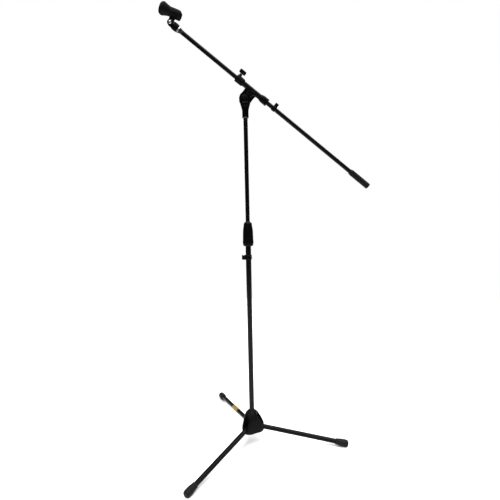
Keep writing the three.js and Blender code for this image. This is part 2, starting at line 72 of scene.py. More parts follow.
# ------------------------------------------------------------------ mesh making
def weighted_normals(v, quads):
    """Area-weighted vertex normals of a quad mesh."""
    p = v[quads]
    n = np.cross(p[:, 2] - p[:, 0], p[:, 3] - p[:, 1])
    out = np.zeros_like(v)
    for k in range(4):
        np.add.at(out, quads[:, k], n)
    length = np.linalg.norm(out, axis=1, keepdims=True)
    return out / np.maximum(length, 1e-12)


def convexity(v, n, quads, reach):
    """How far each vertex stands out of its neighbourhood: + on edges, - in creases, per reach."""
    e = np.concatenate([quads[:, [0, 1]], quads[:, [1, 2]], quads[:, [2, 3]], quads[:, [3, 0]]])
    e = e[e[:, 0] != e[:, 1]]
    d = v[e[:, 1]] - v[e[:, 0]]
    l2 = np.maximum((d * d).sum(1), 1e-9)
    k0 = -(d * n[e[:, 0]]).sum(1) / l2
    k1 = (d * n[e[:, 1]]).sum(1) / l2
    s = np.zeros(len(v))
    c = np.zeros(len(v))
    np.add.at(s, e[:, 0], k0)
    np.add.at(s, e[:, 1], k1)
    np.add.at(c, e[:, 0], 1)
    np.add.at(c, e[:, 1], 1)
    k = s / np.maximum(c, 1) * reach
    for _ in range(2):
        t = np.zeros(len(v))
        np.add.at(t, e[:, 0], k[e[:, 1]])
        np.add.at(t, e[:, 1], k[e[:, 0]])
        k = 0.5 * k + 0.5 * t / np.maximum(c, 1)
    return k


def make(name, v, quads, normals, matrix, body, material, nodes, reach=0.8):
    """A piece from quads in its own frame (mm), put in place and ridden on a body."""
    v = np.asarray(v, float)
    quads = np.asarray(quads, np.int64)
    if normals is None:
        normals = weighted_normals(v, quads)
    # per-vertex convexity, used for real edge wear and for painted shade darkening the creases
    edge_wear_and_crease_shade = np.clip(0.5 + 0.5 * convexity(v, normals, quads, reach), 0, 1)
    m = np.array(matrix, float)
    w = (v @ m[:3, :3].T + m[:3, 3]) * 0.001
    n = normals @ m[:3, :3].T
    mesh = bpy.data.meshes.new(name)
    faces = [tuple(dict.fromkeys(q)) for q in quads.tolist()]
    mesh.from_pydata(w.tolist(), [], [f for f in faces if len(f) > 2])
    mesh.validate()
    mesh.polygons.foreach_set("use_smooth", [True] * len(mesh.polygons))
    if len(mesh.vertices) == len(n):
        mesh.normals_split_custom_set_from_vertices(n.tolist())
        att = mesh.attributes.new("edge_wear_and_crease_shade", "FLOAT", "POINT")
        att.data.foreach_set("value", edge_wear_and_crease_shade.astype(np.float32))
    mesh.update()
    obj = bpy.data.objects.new(name, mesh)
    bpy.context.scene.collection.objects.link(obj)
    mesh.materials.append(material)
    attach(obj, body)
    if nodes:
        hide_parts(*nodes)
    return obj


def fillet(profile, radius, steps=4, closed=False):
    """A polyline with each corner rounded to radius, or to as much as its sides allow."""
    pts = [np.array(p[:2], float) for p in profile]
    rr = [p[2] if len(p) > 2 else radius for p in profile]
    n = len(pts)
    out = []
    for i in range(n):
        if not closed and i in (0, n - 1):
            out.append(pts[i])
            continue
        p, q, r = pts[i - 1], pts[i], pts[(i + 1) % n]
        u, w = p - q, r - q
        lu, lw = np.linalg.norm(u), np.linalg.norm(w)
        u, w = u / lu, w / lw
        cosang = float(np.clip(u @ w, -1, 1))
        turn = math.pi - math.acos(cosang)
        if turn < 0.02 or rr[i] <= 0:
            out.append(q)
            continue
        t = min(rr[i] * math.tan(turn / 2), 0.45 * lu, 0.45 * lw)
        a0, a1 = q + u * t, q + w * t
        k = max(2, int(math.ceil(steps * turn / (math.pi / 2))) + 1)
        for s in np.linspace(0, 1, k):
            out.append((1 - s) ** 2 * a0 + 2 * s * (1 - s) * (q * 0.92 + (a0 + a1) * 0.04) + s * s * a1)
    return out


def spline(profile, steps=4):
    """A smooth curve through the profile's points."""
    p = np.array([q[:2] for q in profile], float)
    ext = np.vstack([2 * p[0] - p[1], p, 2 * p[-1] - p[-2]])
    out = []
    for i in range(len(p) - 1):
        p0, p1, p2, p3 = ext[i:i + 4]
        for t in np.arange(steps) / steps:
            out.append(0.5 * ((2 * p1) + (p2 - p0) * t + (2 * p0 - 5 * p1 + 4 * p2 - p3) * t * t
                              + (3 * p1 - p0 - 3 * p2 + p3) * t ** 3))
    out.append(p[-1])
    return out


def densify(profile, step):
    out = [np.array(profile[0], float)]
    for q in profile[1:]:
        q = np.array(q, float)
        p = out[-1]
        k = max(1, int(math.ceil(np.linalg.norm(q - p) / step)))
        out += [p + (q - p) * (j + 1) / k for j in range(k)]
    return out


def lathe(profile, segments=64, shape=None, closed=None):
    """[r, z] points turned on Z; a profile that leaves the axis open closes on itself. Returns vertices, quads."""
    p = np.array([q[:2] for q in profile], float)
    on_axis = p[0][0] < 1e-6 and p[-1][0] < 1e-6
    closed = (not on_axis) if closed is None else closed
    n, m = len(p), segments
    area = 0.5 * np.sum(p[:, 0] * np.roll(p[:, 1], -1) - np.roll(p[:, 0], -1) * p[:, 1])
    if area < 0:
        p = p[::-1]
    ang = np.arange(m) * 2 * math.pi / m
    rr = np.repeat(p[:, 0][:, None], m, 1)
    zz = np.repeat(p[:, 1][:, None], m, 1)
    aa = np.repeat(ang[None], n, 0)
    if shape is not None:
        rr, zz = shape(rr, zz, aa)
    v = np.stack([rr * np.cos(aa), rr * np.sin(aa), zz], -1).reshape(-1, 3)
    quads = []
    rows = range(n) if closed else range(n - 1)
    j = np.arange(m)
    j1 = (j + 1) % m
    for i in rows:
        k = (i + 1) % n
        quads.append(np.stack([i * m + j, i * m + j1, k * m + j1, k * m + j], 1))
    quads = np.concatenate(quads)
    if on_axis:                       # one vertex at each pole
        first, last = 0, (n - 1) * m
        keep = np.arange(len(v))
        keep[:m] = first
        keep[last:] = last
        quads = keep[quads]
        used, inv = np.unique(quads, return_inverse=True)
        v, quads = v[used], inv.reshape(quads.shape)
    return v, quads


def turned(name, profile, matrix, body, material, nodes, segments=64, radius=0.5, shape=None, step=None,
           corners=3, reach=0.8):
    p = [tuple(q) for q in profile]
    closed = not (p[0][0] < 1e-6 and p[-1][0] < 1e-6)
    p = fillet(p, radius, corners, closed)
    if step:
        p = densify(p + ([p[0]] if closed else []), step)
        if closed:
            p = p[:-1]
    v, q = lathe(p, segments, shape)
    return make(name, v, q, None, matrix, body, material, nodes, reach)


def ring(r0, r1, z0, z1):
    return [(r0, z0), (r1, z0), (r1, z1), (r0, z1)]


def rod(r, z0, z1):
    return [(0, z0), (r, z0), (r, z1), (0, z1)]


# ------------------------------------------------------------------ solids from distance fields
def smin(p, q, k):
    h = np.maximum(k - np.abs(p - q), 0) / k
    return np.minimum(p, q) - h * h * k * 0.25


def smax(p, q, k):
    return -smin(-p, -q, k)


def step01(t):
    t = np.clip(t, 0, 1)
    return t * t * (3 - 2 * t)


def bump(t):
    """1 at 0, 0 past +-1."""
    t = np.clip(np.abs(t), 0, 1)
    return (1 - t * t) ** 2


def poly2(x, y, pts):
    """Signed distance to a closed outline."""
    pts = np.array([q[:2] for q in pts], np.float32)
    d = np.full(x.shape, 1e9, np.float32)
    inside = np.zeros(x.shape, bool)
    for i in range(len(pts)):
        ax_, ay_ = pts[i]
        bx_, by_ = pts[(i + 1) % len(pts)]
        ex, ey = bx_ - ax_, by_ - ay_
        l2 = ex * ex + ey * ey
        if l2 < 1e-12:
            continue
        wx, wy = x - ax_, y - ay_
        t = np.clip((wx * ex + wy * ey) / l2, 0, 1)
        d = np.minimum(d, (wx - ex * t) ** 2 + (wy - ey * t) ** 2)
        if abs(ey) > 1e-12:
            cross = ((ay_ <= y) != (by_ <= y)) & (x < ax_ + (y - ay_) * (ex / ey))
            inside ^= cross
    d = np.sqrt(d)
    return np.where(inside, -d, d)


def rbox(x, y, z, c, h, r=0.0):
    qx, qy, qz = np.abs(x - c[0]) - h[0] + r, np.abs(y - c[1]) - h[1] + r, np.abs(z - c[2]) - h[2] + r
    out = np.sqrt(np.maximum(qx, 0) ** 2 + np.maximum(qy, 0) ** 2 + np.maximum(qz, 0) ** 2)
    return out + np.minimum(np.maximum(qx, np.maximum(qy, qz)), 0) - r


def drum(u, v, w, r, w0, w1, e=0.0):
    """A round bar on w, with edges rounded to e."""
    qr, qw = np.hypot(u, v) - r + e, np.abs(w - (w0 + w1) / 2) - (w1 - w0) / 2 + e
    return np.hypot(np.maximum(qr, 0), np.maximum(qw, 0)) + np.minimum(np.maximum(qr, qw), 0) - e


def hexagon(u, v, apothem):
    k = [(math.cos(rad(t)), math.sin(rad(t))) for t in (0, 60, 120)]
    return np.maximum.reduce([np.abs(u * c + v * s) for c, s in k]) - apothem


def arc(cx, cy, r, n, a0, a1):
    return [(cx + r * math.cos(rad(t)), cy + r * math.sin(rad(t))) for t in np.linspace(a0, a1, n)]


def field_mesh(f, lo, hi, h):
    """The surface f = 0 as quads: vertices on the surface, normals from the field."""
    lo, hi = np.array(lo, float), np.array(hi, float)
    B = 4
    nb = np.ceil((hi - lo) / (h * B)).astype(int)
    n = nb * B + 1
    cx, cy, cz = [lo[k] + (np.arange(nb[k]) + 0.5) * B * h for k in range(3)]
    X, Y, Z = np.meshgrid(cx, cy, cz, indexing="ij")
    C = f(X.astype(np.float32).ravel(), Y.astype(np.float32).ravel(), Z.astype(np.float32).ravel()).reshape(nb)
    near = np.abs(C) < B * h * 1.35 + 0.6
    F = np.empty(tuple(n), np.float32)
    big = np.repeat(np.repeat(np.repeat(C, B, 0), B, 1), B, 2)
    F[:-1, :-1, :-1] = big
    F[-1, :, :] = 9
    F[:, -1, :] = 9
    F[:, :, -1] = 9
    bi = np.argwhere(near)
    o = np.stack(np.meshgrid(*[np.arange(B + 1)] * 3, indexing="ij"), -1).reshape(-1, 3)
    need = np.zeros(tuple(n), bool)
    for off in o:
        idx = bi * B + off
        need[idx[:, 0], idx[:, 1], idx[:, 2]] = True
    ids = np.argwhere(need)
    P = (lo + ids * h).astype(np.float32)
    vals = np.empty(len(P), np.float32)
    for s in range(0, len(P), 400000):
        q = P[s:s + 400000]
        vals[s:s + 400000] = f(q[:, 0], q[:, 1], q[:, 2])
    F[ids[:, 0], ids[:, 1], ids[:, 2]] = vals
    F[np.abs(F) < 1e-6] = 1e-6
    S = F < 0
    cnt = sum(S[i:n[0] - 1 + i, j:n[1] - 1 + j, k:n[2] - 1 + k].astype(np.int8)
              for i in (0, 1) for j in (0, 1) for k in (0, 1))
    active = (cnt > 0) & (cnt < 8)
    index = np.full(active.shape, -1, np.int64)
    index[active] = np.arange(active.sum())
    pos = np.zeros((int(active.sum()), 3))
    num = np.zeros(int(active.sum()))
    quads = []
    for ax in range(3):
        u, w = (ax + 1) % 3, (ax + 2) % 3
        s0 = [slice(None)] * 3
        s1 = [slice(None)] * 3
        s0[ax], s1[ax] = slice(0, n[ax] - 1), slice(1, n[ax])
        E = np.argwhere(S[tuple(s0)] != S[tuple(s1)])
        E = E[(E[:, u] >= 1) & (E[:, u] <= n[u] - 2) & (E[:, w] >= 1) & (E[:, w] <= n[w] - 2)]
        E1 = E.copy()
        E1[:, ax] += 1
        f0, f1 = F[tuple(E.T)].astype(float), F[tuple(E1.T)].astype(float)
        cross = lo + E * h
        cross[:, ax] += f0 / (f0 - f1) * h
        eu, ew = np.zeros(3, int), np.zeros(3, int)
        eu[u] = 1
        ew[w] = 1
        cells = [E - eu - ew, E - ew, E, E - eu]
        q = np.stack([index[tuple(c.T)] for c in cells], 1)
        for k in range(4):
            np.add.at(pos, q[:, k], cross)
            np.add.at(num, q[:, k], 1)
        q[f0 > 0] = q[f0 > 0][:, ::-1]
        quads.append(q)
    quads = np.concatenate(quads)
    v = pos / np.maximum(num, 1)[:, None]

    def grad(p, e):
        g = np.empty_like(p)
        for k in range(3):
            d = np.zeros(3)
            d[k] = e
            lo_, hi_ = (p - d).astype(np.float32), (p + d).astype(np.float32)
            g[:, k] = (f(hi_[:, 0], hi_[:, 1], hi_[:, 2]) - f(lo_[:, 0], lo_[:, 1], lo_[:, 2])) / (2 * e)
        return g

    for _ in range(3):
        g = grad(v, 0.12 * h)
        q = v.astype(np.float32)
        val = f(q[:, 0], q[:, 1], q[:, 2])
        move = -val[:, None] * g / np.maximum((g * g).sum(1, keepdims=True), 0.2)
        size = np.linalg.norm(move, axis=1, keepdims=True)
        v = v + move * np.minimum(1, 0.4 * h / np.maximum(size, 1e-9))
    g = grad(v, 0.3 * h)
    length = np.linalg.norm(g, axis=1, keepdims=True)
    normals = g / np.maximum(length, 1e-9)
    return v, quads, normals


def solid(name, f, lo, hi, h, matrix, body, material, nodes, reach=0.9):
    v, q, n = field_mesh(f, lo, hi, h)
    return make(name, v, q, n, matrix, body, material, nodes, reach)


# ------------------------------------------------------------------ materials
def material(name, base, rough, metallic=0.0, specular=0.5, tint=0.25, tint_scale=9.0, rough_var=0.08,
             grain=1400.0, grain_bump=0.06, coarse=120.0, coarse_bump=0.03, worn=None, worn_amount=0.5,
             stretch=None, streak=0.0, coat=0.0, coat_rough=0.2, cells=False):
    m = bpy.data.materials.new(name)
    m.use_nodes = True
    nt = m.node_tree
    N, L = nt.nodes, nt.links
    N.clear()
    out = N.new("ShaderNodeOutputMaterial")
    bsdf = N.new("ShaderNodeBsdfPrincipled")
    L.new(bsdf.outputs[0], out.inputs[0])
    bsdf.inputs["Metallic"].default_value = metallic
    bsdf.inputs["Specular IOR Level"].default_value = specular
    bsdf.inputs["Coat Weight"].default_value = coat
    bsdf.inputs["Coat Roughness"].default_value = coat_rough
    tc = N.new("ShaderNodeTexCoord")
    mp = N.new("ShaderNodeMapping")
    L.new(tc.outputs["Object"], mp.inputs[0])
    if stretch:                       # (rotation about Y in degrees, scale along the local axes)
        mp.vector_type = "TEXTURE"
        mp.inputs["Rotation"].default_value = (rad(stretch[1]), rad(stretch[0]), rad(stretch[2]))
        mp.inputs["Scale"].default_value = stretch[3]

    def noise(scale, detail, rough_=0.5, src=mp):
        t = N.new("ShaderNodeTexNoise")
        t.inputs["Scale"].default_value = scale
        t.inputs["Detail"].default_value = detail
        t.inputs["Roughness"].default_value = rough_
        L.new(src.outputs[0 if src is mp else "Object"], t.inputs["Vector"])
        return t.outputs[0]

    def ranged(value, a0, a1, b0, b1):
        r = N.new("ShaderNodeMapRange")
        r.inputs["From Min"].default_value = a0
        r.inputs["From Max"].default_value = a1
        r.inputs["To Min"].default_value = b0
        r.inputs["To Max"].default_value = b1
        L.new(value, r.inputs["Value"])
        return r.outputs[0]

    def mixed(fac, c0, c1):
        x = N.new("ShaderNodeMix")
        x.data_type = "RGBA"
        L.new(fac, x.inputs[0])
        for sock, c in ((x.inputs[6], c0), (x.inputs[7], c1)):
            if isinstance(c, tuple):
                sock.default_value = c
            else:
                L.new(c, sock)
        return x.outputs[2]

    def maths(op, p, q):
        x = N.new("ShaderNodeMath")
        x.operation = op
        for i, s in enumerate((p, q)):
            if isinstance(s, (int, float)):
                x.inputs[i].default_value = s
            else:
                L.new(s, x.inputs[i])
        x.use_clamp = op == "MULTIPLY"
        return x.outputs[0]

    dark = tuple(c * (1 - tint) for c in base) + (1.0,)
    light = tuple(min(1, c * (1 + tint)) for c in base) + (1.0,)
    colour = mixed(ranged(noise(tint_scale, 4.0, 0.6, tc), 0.35, 0.65, 0, 1), dark, light)
    roughness = ranged(noise(tint_scale * 3.1, 5.0, 0.6, tc), 0.3, 0.7, rough - rough_var, rough + rough_var)
    fine = noise(grain, 3.0, 0.6)
    wide = noise(coarse, 3.0, 0.5)
    if streak:
        s = noise(coarse * 0.6, 2.0, 0.5)
        colour = mixed(ranged(s, 0.52, 0.75, 0, streak), colour, tuple(min(1, c * 1.9 + 0.004) for c in base) + (1.0,))
    if worn is not None:
        att = N.new("ShaderNodeAttribute")
        att.attribute_name = "edge_wear_and_crease_shade"
        edge = ranged(att.outputs["Fac"], 0.56, 0.80, 0, 1)
        patch = ranged(noise(170.0, 4.0, 0.7, tc), 0.40, 0.66, 0, 1)
        fac = maths("MULTIPLY", maths("MULTIPLY", edge, patch), worn_amount)
        colour = mixed(fac, colour, tuple(worn) + (1.0,))
        # painted shade: the colour darkens towards base x 0.55 in creases and hollows, where the convexity is low
        painted_crease_shade = ranged(att.outputs["Fac"], 0.46, 0.30, 0, 0.5)
        colour = mixed(painted_crease_shade, colour, tuple(c * 0.55 for c in base) + (1.0,))
        roughness = maths("ADD", roughness, ranged(att.outputs["Fac"], 0.5, 0.85, 0, -0.07))
    L.new(colour, bsdf.inputs["Base Color"])
    L.new(roughness, bsdf.inputs["Roughness"])
    b1 = N.new("ShaderNodeBump")
    b1.inputs["Strength"].default_value = coarse_bump
    b1.inputs["Distance"].default_value = 0.0006
    L.new(wide, b1.inputs["Height"])
    b2 = N.new("ShaderNodeBump")
    b2.inputs["Strength"].default_value = grain_bump
    b2.inputs["Distance"].default_value = 0.00012
    if cells:
        vo = N.new("ShaderNodeTexVoronoi")
        vo.inputs["Scale"].default_value = grain * 0.5
        L.new(tc.outputs["Object"], vo.inputs["Vector"])
        L.new(vo.outputs["Distance"], b2.inputs["Height"])
    else:
        L.new(fine, b2.inputs["Height"])
    L.new(b1.outputs[0], b2.inputs["Normal"])
    L.new(b2.outputs[0], bsdf.inputs["Normal"])
    return m


PAINT = dict(base=(0.0016, 0.0016, 0.0017), rough=0.24, specular=0.10, tint=0.25, tint_scale=14.0, rough_var=0.05,
             grain=900.0, grain_bump=0.06, coarse=260.0, coarse_bump=0.03, worn=(0.020, 0.0195, 0.019), worn_amount=0.3)
M_PAINT = material("black_powder_coat", **PAINT)
M_MAST = material("black_powder_coat_mast", stretch=(0, 0, 0, (1, 1, 14)), streak=0.10, **PAINT)
M_BOOM = material("black_powder_coat_boom", stretch=(BOOM_ANGLE, 0, 0, (14, 1, 1)), streak=0.10, **PAINT)
M_LEG = {k: material("black_powder_coat_leg_" + k, stretch=(0, 0, v, (14, 1, 1)), streak=0.10, **dict(PAINT, specular=0.085))
         for k, v in LEGS.items()}
M_PLASTIC = material("moulded_black_plastic", (0.0013, 0.00135, 0.0016), 0.34, specular=0.06, tint=0.18, tint_scale=22.0,
                     rough_var=0.06, grain=2600.0, grain_bump=0.10, coarse=500.0, coarse_bump=0.04,
                     worn=(0.012, 0.012, 0.0125), worn_amount=0.5, cells=True)
M_HUB = material("moulded_hub_plastic", (0.0026, 0.0027, 0.0031), 0.44, specular=0.05, tint=0.16, tint_scale=18.0,
                 rough_var=0.05, grain=2000.0, grain_bump=0.12, coarse=300.0, coarse_bump=0.04,
                 worn=(0.012, 0.012, 0.013), worn_amount=0.5, cells=True)
M_CLIP = material("charcoal_clip_plastic", (0.0060, 0.0052, 0.0057), 0.56, specular=0.04, tint=0.40, tint_scale=70.0,
                  rough_var=0.08, grain=1700.0, grain_bump=0.22, coarse=330.0, coarse_bump=0.10,
                  worn=(0.020, 0.019, 0.019), worn_amount=0.6, cells=True)
M_RUBBER = material("black_rubber", (0.0036, 0.0036, 0.0036), 0.62, specular=0.12, tint=0.25, tint_scale=30.0,
                    rough_var=0.08, grain=1100.0, grain_bump=0.30, coarse=240.0, coarse_bump=0.10,
                    worn=(0.024, 0.023, 0.022), worn_amount=0.7)
M_GRIP = material("knurled_grip_rubber", (0.0030, 0.0030, 0.0031), 0.55, specular=0.12, tint=0.2, tint_scale=30.0,
                  rough_var=0.07, grain=1300.0, grain_bump=0.20, coarse=240.0, coarse_bump=0.06,
                  worn=(0.022, 0.022, 0.022), worn_amount=0.7)
M_ZINC = material("bright_zinc", (0.50, 0.49, 0.475), 0.30, metallic=1.0, tint=0.10, tint_scale=90.0, rough_var=0.10,
                  grain=2400.0, grain_bump=0.10, coarse=500.0, coarse_bump=0.05, worn=(0.80, 0.79, 0.77), worn_amount=0.6)
M_GREY = material("grey_plated_ring", (0.085, 0.085, 0.084), 0.44, metallic=0.9, tint=0.14, tint_scale=90.0,
                  rough_var=0.08, grain=1800.0, grain_bump=0.12, coarse=400.0, coarse_bump=0.05,
                  worn=(0.18, 0.18, 0.178), worn_amount=0.6)
M_STEEL = material("black_zinc_steel", (0.014, 0.0130, 0.0122), 0.38, metallic=0.6, tint=0.25, tint_scale=60.0,
                   rough_var=0.08, grain=1600.0, grain_bump=0.10, coarse=350.0, coarse_bump=0.05,
                   worn=(0.16, 0.155, 0.145), worn_amount=0.45)
M_BRASS = material("turned_brass", (0.56, 0.37, 0.14), 0.30, metallic=1.0, tint=0.14, tint_scale=80.0, rough_var=0.08,
                   grain=1500.0, grain_bump=0.10, coarse=400.0, coarse_bump=0.05, worn=(0.80, 0.62, 0.32), worn_amount=0.5)
M_GOLD = material("satin_gold_band", (0.235, 0.160, 0.040), 0.46, metallic=0.3, specular=0.2, tint=0.18, tint_scale=60.0,
                  rough_var=0.10, grain=900.0, grain_bump=0.08, coarse=180.0, coarse_bump=0.06,
                  worn=(0.10, 0.072, 0.030), worn_amount=0.7)
M_NYLON = material("natural_nylon", (0.60, 0.58, 0.52), 0.5, tint=0.08, tint_scale=40.0, grain=900.0, grain_bump=0.08,
                   coarse=200.0, coarse_bump=0.05, worn=(0.5, 0.48, 0.43), worn_amount=0.4)

# ------------------------------------------------------------------ tripod hub
LOBE = 5.5
hub_side = [(38.0, 53), (40.7, 54.6), (42.6, 58.5), (43.4, 64), (43.4, 73), (42.8, 79), (41.4, 86.5), (39.8, 91), (37.6, 98.5),
            (35.0, 105.5), (31.8, 112), (28.2, 119.5), (24.6, 126), (21.3, 130.6), (17.7, 135), (14.0, 138.8), (12.1, 141),
            (11.3, 142)]
hub_outline = [(-30, 53)] + [tuple(q) for q in spline(hub_side, 2)] + [(-30, 142)]
DROP = math.tan(rad(LEG_SLOPE))


def hub_field(x, y, z):
    r = np.hypot(x, y)
    ang = np.arctan2(y, x)
    lobe = np.minimum(1, r / 30) * LOBE * step01((124 - z) / 48) * np.cos(3 * ang)
    folded = np.mod(ang + math.pi / 3, 2 * math.pi / 3) - math.pi / 3
    lx, ly = r * np.cos(folded), np.abs(r * np.sin(folded))
    f = poly2(r - lobe, z, hub_outline)
    fade = step01((z - 60) / 8) * step01((136 - z) / 10) * step01((r - 14) / 6)
    ribs = 0.9 * bump((ly - 12.6) / 1.4) + 0.75 * bump((ly - 16.0) / 1.3) + 0.6 * bump((ly - 19.2) / 1.2)
    panel = step01((ly - 20.8) / 3.0) * step01((z - 61) / 6) * step01((124 - z) / 10)
    f = f - ribs * fade + 0.7 * panel
    f = smax(f, -(np.abs(z - 58.2) - 0.5 + 1.6 * np.abs(f + 0.2)), 0.5)        # parting groove above the foot rim
    floor = 70.9 - (lx - 33.0) * DROP - 10.1 / math.cos(rad(LEG_SLOPE))
    slot = np.maximum(np.maximum(ly - 10.3, 20.0 - lx), (floor - z) * 0.97)
    f = smax(f, -slot, 2.2)
    pin = np.maximum(np.hypot(lx - 33.0, z - 70.9) - 2.8, ly - 15.4)
    f = np.maximum(f, -pin)
    f = smax(f, -np.maximum(r - 10.3, 60.6 - z), 1.2)
    f = np.maximum(f, -(r - 3.4 + np.maximum(0, z - 70) * 10))
    f = smax(f, -np.maximum(r - 33.9, z - 56.5), 0.8)
    return f


solid("hub_shell", hub_field, (-53, -53, 50), (53, 53, 146), 0.7, HUB, "base", M_HUB, ["hub_housing"])


def base_plate_shape(rr, zz, aa):
    return rr, zz + np.where((zz < 54) & (rr > 18), 0.4 * bump((rr - 29) / 1.6) + 0.4 * bump((rr - 22) / 1.6), 0)


turned("hub_bottom_cover", [(7.2, 35.0), (9.8, 35.0), (11.4, 36.4), (12.0, 39), (12.0, 53.4),
       (33.5, 53.4), (33.5, 56.2), (3.4, 56.2), (3.4, 41), (7.2, 41)], HUB, "base", M_PLASTIC,
       ["hub_base_plate"], segments=96, radius=0.6, shape=base_plate_shape, step=0.8)


def hub_screw_field(x, y, z):
    r = np.hypot(x, y)
    f = poly2(r, z, [(-5, 37.0), (5.2, 37.0), (6.4, 38.2), (6.4, 40.7), (2.9, 40.7), (2.9, 80), (-5, 80)])
    cross = np.minimum(np.maximum(np.abs(x) - 0.7, np.abs(y) - 3.4), np.maximum(np.abs(y) - 0.7, np.abs(x) - 3.4))
    f = smax(f, -np.maximum(cross, z - 39.0), 0.25)
    thread = 0.3 * np.cos(2 * math.pi * (z / 1.25 - np.arctan2(y, x) / (2 * math.pi)))
    return np.where((z > 45) & (r > 1.5), f - thread, f) * 0.8


solid("hub_cross_screw", hub_screw_field, (-8, -8, 35), (8, 8, 82), 0.32, HUB, "base", M_STEEL, ["hub_screw"])

# ------------------------------------------------------------------ legs
for side, az in LEGS.items():
    L_ = LEG[side]
    body = "leg_" + side
    X = L_ @ ALONG_X
    turned("leg_tube_skin_" + side, ring(8.3, 9.5, 9.6, 335), X, body, M_LEG[side], ["leg_tube_" + side],
           segments=72, radius=0.35, step=12)

    def knuckle(x, y, z):
        eye = smax(poly2(x, z, arc(0, 0, 9.3, 25, 90, 270) + [(9.3, -9.3), (9.3, 9.3)]), np.abs(y) - 9.3, 1.6)
        plug = drum(y, z, x, 8.0, 5, 36, 0.8)
        f = np.minimum(eye, plug)
        waist = np.maximum(np.hypot(x + 0.0, z) - 6.6, 8.6 - np.abs(y))
        f = smax(f, -waist, 0.8)
        return np.maximum(f, -(np.hypot(x, z) - 2.8))

    solid("leg_knuckle_eye_" + side, knuckle, (-11, -11, -11), (38, 11, 11), 0.55, L_, body, M_PLASTIC,
          ["leg_knuckle_" + side])
    turned("leg_hinge_pin_" + side, rod(2.5, -15, 15), STAND @ RZ(az) @ T((LEG_R, 0, LEG_Z)) @ ALONG_Y, "base", M_ZINC,
           ["leg_pin_" + side], segments=32, radius=0.5)

    boot_out = [tuple(q) for q in spline([(11.4, 302), (11.75, 305), (12.0, 309), (12.9, 315), (13.9, 322), (14.25, 330),
                                          (14.2, 340), (13.4, 346), (11.4, 350.2), (8.2, 352)], 3)]
    boot_line = [(9.8, 302)] + boot_out + [(-6, 352), (-6, 335.5), (9.8, 335.5)]

    def boot(x, y, z):
        r = np.hypot(y, z)
        f = poly2(r, x, boot_line)
        f = smax(f, -(np.hypot(r - 11.95, x - 306.3) - 0.75), 0.4)      # two fine grooves behind the lip
        f = smax(f, -(np.hypot(r - 12.2, x - 310.0) - 0.75), 0.4)
        # level with the floor, and a tread of cross grooves under the sole
        s, c = math.sin(rad(LEG_SLOPE)), math.cos(rad(LEG_SLOPE))
        height = LEG_Z - x * s + z * c
        along = LEG_R + x * c + z * s
        f = smax(f, -height, 0.5)
        tread = np.maximum(np.abs(np.mod(along - 0.8, 3.0) - 1.5) - 0.55, height - 0.9)
        f = np.maximum(f, -np.maximum(tread, np.hypot(along - 369.0, y) - 6.4))
        return f

    solid("leg_boot_" + side, boot, (300, -16, -16), (355, 16, 16), 0.5, L_, body, M_RUBBER, ["leg_foot_" + side])
    if side == "rear":
        turned("leg_gold_band", [(9.56, 115.5), (10.1, 115.5), (10.1, 172), (9.56, 172)], X, body, M_GOLD,
               ["leg_band_rear"], segments=72, radius=0.12, step=2.5,
               shape=lambda rr, zz, aa: (rr + np.where(rr > 10, -0.22 * (bump((zz - 119.5) / 1.2) + bump((zz - 168) / 1.2)), 0), zz))

# ------------------------------------------------------------------ lower tube and clutch
turned("lower_tube_skin", ring(8.8, 10.0, 61.0, 840.0), STAND, "base", M_MAST, ["lower_tube"], segments=80,
       radius=0.35, step=25)
turned("lower_tube_steel_plug", ring(3.2, 8.5, 61.2, 86), STAND, "base", M_ZINC, ["lower_tube_plug"], segments=48)
turned("clutch_inner_bushing", [(10.3, 806.5), (13.4, 806.5), (13.4, 846), (8.4, 846), (8.4, 840.4), (10.3, 840.4)], STAND,
       "base", M_NYLON, ["clutch_bushing"], segments=64, radius=0.4)


def collet(x, y, z):
    r = np.hypot(x, y)
    f = poly2(r, z, [(7.8, 846.4), (12.6, 846.4), (9.7, 866.5), (7.8, 866.5)])
    f = smax(f, -np.maximum(np.abs(y) - 0.9, -x), 0.4)
    return f


solid("clutch_split_collet", collet, (-14, -14, 845), (14, 14, 868), 0.5, STAND, "collet", M_NYLON, ["clutch_collet"])

GRIP_FRONT_ANGLE = rad(-90)


def grip_shape(rr, zz, aa):
    t = aa - GRIP_FRONT_ANGLE
    outer = rr > 13.9
    body = step01((zz - 818) / 8) * step01((886 - zz) / 10)
    ridge = np.abs(np.sin(2.5 * t)) ** 16                  # five soft faces between narrow upright ridges
    face = 0.5 - 0.5 * np.cos(5 * t)
    cut = body * 0.62 * (1 - ridge) * (0.5 + 0.5 * face)
    arch = 823 - 8.0 * np.cos(12 * t)                      # a row of small arched petals round the foot
    petal = step01((arch - zz) / 3.0) * step01((zz - 804.6) / 3.0) * (0.5 + 0.5 * np.cos(12 * t))
    cut = cut + 1.5 * petal
    return np.where(outer, rr - cut, rr), zz


grip_out = [tuple(q) for q in spline([(17.9, 805.6), (19.2, 808.8), (19.75, 812.5), (19.8, 819), (19.4, 838), (19.0, 853),
                                      (18.3, 864.5), (17.0, 873), (15.8, 880), (14.9, 886.4)], 6)]
turned("clutch_twist_grip", [(13.75, 804.0), (15.8, 804.0), (17.0, 804.6)] + grip_out + [(13.4, 889.4), (12.0, 890.5),
       (8.1, 890.5), (8.1, 867.2), (10.1, 867.2), (13.1, 846.2), (13.75, 846.2)], STAND, "clutch", M_PLASTIC,
       ["clutch_grip"], segments=240, radius=0.4, corners=2, step=0.9, shape=grip_shape, reach=1.2)
turned("clutch_grey_ring", ring(8.1, 9.8, 890.8, 893.6), STAND, "clutch", M_GREY, ["clutch_top_ring"],
       segments=72, radius=0.8, corners=4)


